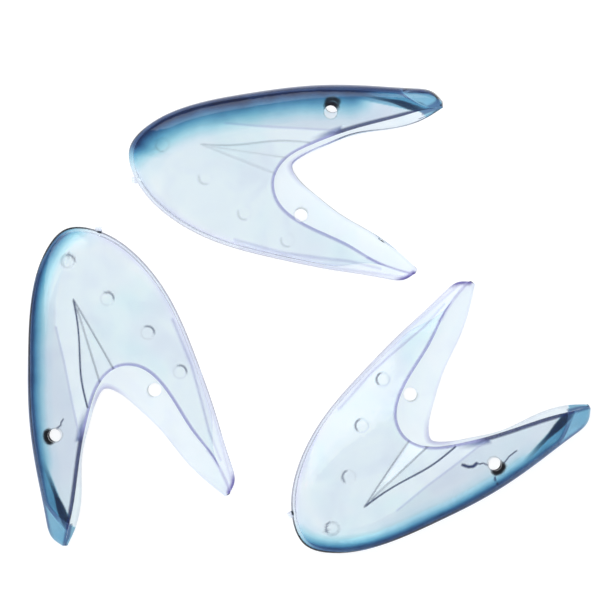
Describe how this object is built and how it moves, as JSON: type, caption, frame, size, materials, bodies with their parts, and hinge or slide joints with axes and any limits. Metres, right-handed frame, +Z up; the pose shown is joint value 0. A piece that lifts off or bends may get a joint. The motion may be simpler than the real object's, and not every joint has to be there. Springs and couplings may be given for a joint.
{
  "type": "protective blade guards",
  "caption": "Clear moulded two-pronged guard shells: hollow pouches with a deep blue-edged wing, a shallow wing and a V notch, that slip over and cover an edge.",
  "frame": {"origin": "on the surface that the guards lie on, under the middle of the set's bounding box", "axes": "+Z up from the surface, +X to the right and +Y away in the set's plan as laid out, with the turned guard at the back"},
  "size_m": [0.2764, 0.2296, 0.0299],
  "materials": {
    "clear_plastic": "polished transparent moulding with a pale blue tint"
  },
  "bodies": {
    "right_guard": {"right_guard": "clear_plastic"},
    "left_guard": {"left_guard": "clear_plastic"},
    "turned_guard": {"turned_guard": "clear_plastic"}
  },
  "joints": [
    {"name": "left_guard_lift", "type": "slide", "parent": "right_guard", "child": "left_guard", "axis": [0, 0, 1], "range_m": [0, 0.06]},
    {"name": "turned_guard_lift", "type": "slide", "parent": "right_guard", "child": "turned_guard", "axis": [0, 0, 1], "range_m": [0, 0.06]}
  ]
}
